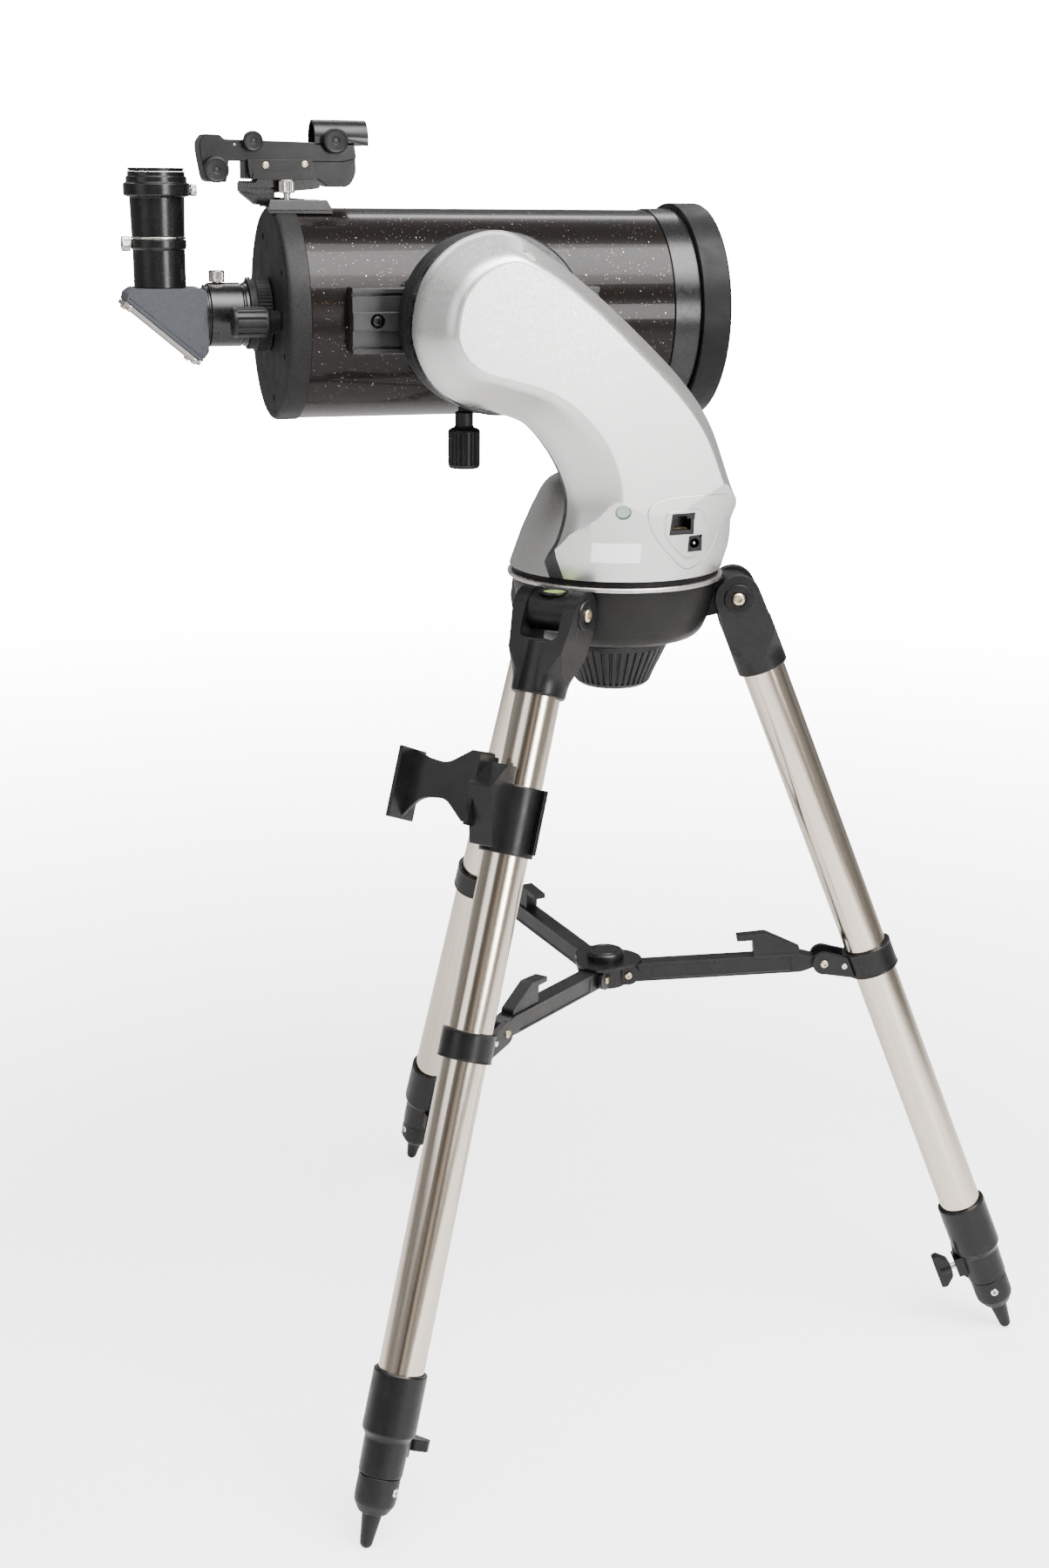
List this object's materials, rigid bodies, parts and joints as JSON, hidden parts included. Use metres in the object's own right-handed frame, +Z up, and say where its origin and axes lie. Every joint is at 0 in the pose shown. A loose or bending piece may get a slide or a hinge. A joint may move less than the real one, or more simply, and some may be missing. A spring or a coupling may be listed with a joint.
{
  "type": "catadioptric cassegrain telescope",
  "caption": "Short closed-tube telescope on a single-arm motorised altitude-azimuth mount, with star diagonal, reflex finder and a folding tripod with extending steel legs.",
  "frame": {"origin": "on the floor below the middle of the bounding box", "axes": "+Z up; the tube points along +X at rest; the arm is on the tube's -Y side"},
  "size_m": [0.6595, 0.5593, 0.929],
  "materials": {
    "tube_black": "gloss with fine flakes",
    "cast_black": "fine wrinkle paint",
    "cap_black": "matte moulded",
    "satin_black": "satin black anodised",
    "grey_black": "fine cast texture",
    "silver_paint": "metallic silver paint",
    "dark_grey": "moulded",
    "plastic_black": "semi-gloss moulded",
    "steel": "polished, drawn",
    "nickel": "bright plated",
    "glass": "coated lens",
    "mirror": "first-surface mirror"
  },
  "bodies": {
    "tripod": {"tripod_head": "plastic_black", "trim_ring": "nickel"},
    "mount": {"arm_outer_shell": "silver_paint", "arm_inner_shell": "dark_grey", "base_cover": "silver_paint", "altitude_bearing": "satin_black", "handset_socket": "plastic_black", "power_socket": "plastic_black", "turntable": "dark_grey"},
    "optical_tube": {"main_tube": "tube_black", "rear_cell": "cast_black", "front_cell": "satin_black", "corrector_lens": "glass", "dovetail_bar": "satin_black", "saddle": "satin_black", "altitude_shaft": "nickel", "visual_back_ring": "cast_black", "visual_back": "satin_black", "finder_shoe": "satin_black", "finder_bracket": "satin_black", "finder_body": "plastic_black"},
    "cap": {"dust_cap": "cap_black"},
    "focuser": {"focus_knob": "plastic_black"},
    "mirror_cell": {"primary_mirror": "mirror"},
    "back_screw": {"visual_back_thumbscrew": "nickel"},
    "diagonal": {"diagonal_body": "grey_black", "diagonal_cover": "nickel", "diagonal_mirror": "mirror", "eyepiece_holder": "satin_black"},
    "eyepiece_screw": {"eyepiece_thumbscrew": "nickel"},
    "barlow": {"barlow_tube": "satin_black"},
    "barlow_screw": {"barlow_thumbscrew": "nickel"},
    "shoe_screw": {"finder_thumbscrew": "nickel"},
    "power_knob": {"finder_power_knob": "plastic_black"},
    "tilt_knob": {"finder_tilt_knob": "plastic_black"},
    "saddle_clamp": {"saddle_knob": "plastic_black"},
    "mount_clamp": {"mount_knob": "plastic_black"},
    "spreader": {"spreader_hub": "plastic_black"},
    "leg_1": {"leg_yoke_1": "plastic_black", "leg_tube_1": "steel", "leg_clamp_1": "plastic_black", "spreader_collar_1": "plastic_black", "handset_holder": "plastic_black"},
    "lower_leg_1": {"lower_leg_1": "plastic_black"},
    "leg_clamp_screw_1": {"clamp_knob_1": "plastic_black"},
    "spreader_arm_1": {"spreader_arm_1": "plastic_black"},
    "leg_2": {"leg_yoke_2": "plastic_black", "leg_tube_2": "steel", "leg_clamp_2": "plastic_black", "spreader_collar_2": "plastic_black"},
    "lower_leg_2": {"lower_leg_2": "plastic_black"},
    "leg_clamp_screw_2": {"clamp_knob_2": "plastic_black"},
    "spreader_arm_2": {"spreader_arm_2": "plastic_black"},
    "leg_3": {"leg_yoke_3": "plastic_black", "leg_tube_3": "steel", "leg_clamp_3": "plastic_black", "spreader_collar_3": "plastic_black"},
    "lower_leg_3": {"lower_leg_3": "plastic_black"},
    "leg_clamp_screw_3": {"clamp_knob_3": "plastic_black"},
    "spreader_arm_3": {"spreader_arm_3": "plastic_black"}
  },
  "joints": [
    {"name": "azimuth_turn", "type": "hinge", "parent": "tripod", "child": "mount", "pos_m": [0.0088, -0.0488, 0.6206], "axis": [0, 0, 1], "continuous": true},
    {"name": "altitude_tilt", "type": "hinge", "parent": "mount", "child": "optical_tube", "pos_m": [-0.0952, -0.0488, 0.7985], "axis": [0, -1, 0], "range_deg": [-8, 70]},
    {"name": "cap_slide", "type": "slide", "parent": "optical_tube", "child": "cap", "axis": [1, 0, 0], "range_m": [0, 0.05]},
    {"name": "mirror_focus", "type": "slide", "parent": "optical_tube", "child": "mirror_cell", "axis": [1, 0, 0], "range_m": [-0.006, 0.006]},
    {"name": "focus_turn", "type": "hinge", "parent": "optical_tube", "child": "focuser", "pos_m": [-0.2412, -0.0188, 0.796], "axis": [1, 0, 0], "range_deg": [-1800, 1800]},
    {"name": "back_screw_turn", "type": "hinge", "parent": "optical_tube", "child": "back_screw", "pos_m": [-0.2632, 0.0232, 0.7985], "axis": [0, 0, 1], "range_deg": [0, 720]},
    {"name": "diagonal_turn", "type": "hinge", "parent": "optical_tube", "child": "diagonal", "pos_m": [-0.3022, 0.0232, 0.7985], "axis": [1, 0, 0], "range_deg": [-90, 90]},
    {"name": "eyepiece_screw_turn", "type": "hinge", "parent": "diagonal", "child": "eyepiece_screw", "pos_m": [-0.3022, 0.0232, 0.8462], "axis": [1, 0, 0], "range_deg": [0, 720]},
    {"name": "barlow_slide", "type": "slide", "parent": "diagonal", "child": "barlow", "axis": [0, 0, 1], "range_m": [0, 0.03]},
    {"name": "barlow_screw_turn", "type": "hinge", "parent": "barlow", "child": "barlow_screw", "pos_m": [-0.3022, 0.0232, 0.8815], "axis": [1, 0, 0], "range_deg": [0, 720]},
    {"name": "shoe_screw_turn", "type": "hinge", "parent": "optical_tube", "child": "shoe_screw", "pos_m": [-0.2162, 0.0052, 0.88], "axis": [0, 0, 1], "range_deg": [0, 720]},
    {"name": "power_knob_turn", "type": "hinge", "parent": "optical_tube", "child": "power_knob", "pos_m": [-0.1812, 0.0112, 0.915], "axis": [0, 1, 0], "range_deg": [0, 270]},
    {"name": "tilt_knob_turn", "type": "hinge", "parent": "optical_tube", "child": "tilt_knob", "pos_m": [-0.2637, 0.0112, 0.895], "axis": [0, 1, 0], "range_deg": [-720, 720]},
    {"name": "saddle_knob_turn", "type": "hinge", "parent": "optical_tube", "child": "saddle_clamp", "pos_m": [-0.1137, -0.0788, 0.74], "axis": [0, 0, 1], "range_deg": [0, 1080]},
    {"name": "mount_knob_turn", "type": "hinge", "parent": "tripod", "child": "mount_clamp", "pos_m": [0.0088, -0.0488, 0.573], "axis": [0, 0, 1], "range_deg": [0, 1440]},
    {"name": "spreader_lift", "type": "slide", "parent": "tripod", "child": "spreader", "axis": [0, 0, 1], "range_m": [0, 0.155]},
    {"name": "leg_fold_1", "type": "hinge", "parent": "tripod", "child": "leg_1", "pos_m": [-0.05645, -0.10859, 0.6037], "axis": [0.6756, -0.7373, 0], "range_deg": [0, 18]},
    {"name": "lower_leg_slide_1", "type": "slide", "parent": "leg_1", "child": "lower_leg_1", "axis": [-0.2774, -0.2542, -0.9265], "range_m": [0, 0.35]},
    {"name": "clamp_knob_turn_1", "type": "hinge", "parent": "leg_1", "child": "leg_clamp_screw_1", "pos_m": [-0.21816, -0.25677, 0.06353], "axis": [-0.6831, -0.626, 0.3762], "range_deg": [0, 720]},
    {"name": "spreader_arm_fold_1", "type": "hinge", "parent": "spreader", "child": "spreader_arm_1", "pos_m": [-0.003, -0.05961, 0.307], "axis": [0.6756, -0.7373, 0], "range_deg": [0, 80.2]},
    {"name": "leg_fold_2", "type": "hinge", "parent": "tripod", "child": "leg_2", "pos_m": [0.0932, -0.07541, 0.6037], "axis": [0.3007, 0.9537, 0], "range_deg": [0, 18]},
    {"name": "lower_leg_slide_2", "type": "slide", "parent": "leg_2", "child": "lower_leg_2", "axis": [0.3588, -0.1131, -0.9265], "range_m": [0, 0.35]},
    {"name": "clamp_knob_turn_2", "type": "hinge", "parent": "leg_2", "child": "leg_clamp_screw_2", "pos_m": [0.30239, -0.14137, 0.06353], "axis": [0.8836, -0.2786, 0.3762], "range_deg": [0, 720]},
    {"name": "spreader_arm_fold_2", "type": "hinge", "parent": "spreader", "child": "spreader_arm_2", "pos_m": [0.02406, -0.05361, 0.307], "axis": [0.3007, 0.9537, 0], "range_deg": [0, 80.2]},
    {"name": "leg_fold_3", "type": "hinge", "parent": "tripod", "child": "leg_3", "pos_m": [-0.01035, 0.0376, 0.6037], "axis": [-0.9763, -0.2164, 0], "range_deg": [0, 18]},
    {"name": "lower_leg_slide_3", "type": "slide", "parent": "leg_3", "child": "lower_leg_3", "axis": [-0.0814, 0.3673, -0.9265], "range_m": [0, 0.35]},
    {"name": "clamp_knob_turn_3", "type": "hinge", "parent": "leg_3", "child": "leg_clamp_screw_3", "pos_m": [-0.05783, 0.25174, 0.06353], "axis": [-0.2005, 0.9046, 0.3762], "range_deg": [0, 720]},
    {"name": "spreader_arm_fold_3", "type": "hinge", "parent": "spreader", "child": "spreader_arm_3", "pos_m": [0.00534, -0.03318, 0.307], "axis": [-0.9763, -0.2164, 0], "range_deg": [0, 80.2]}
  ],
  "couplings": [
    {"joint": "spreader_lift", "follows": "leg_fold_1", "m_per_rad": 0.49},
    {"joint": "spreader_arm_fold_1", "follows": "leg_fold_1", "ratio": 4.4},
    {"joint": "leg_fold_2", "follows": "leg_fold_1", "ratio": 1},
    {"joint": "spreader_arm_fold_2", "follows": "leg_fold_1", "ratio": 4.4},
    {"joint": "leg_fold_3", "follows": "leg_fold_1", "ratio": 1},
    {"joint": "spreader_arm_fold_3", "follows": "leg_fold_1", "ratio": 4.4}
  ]
}
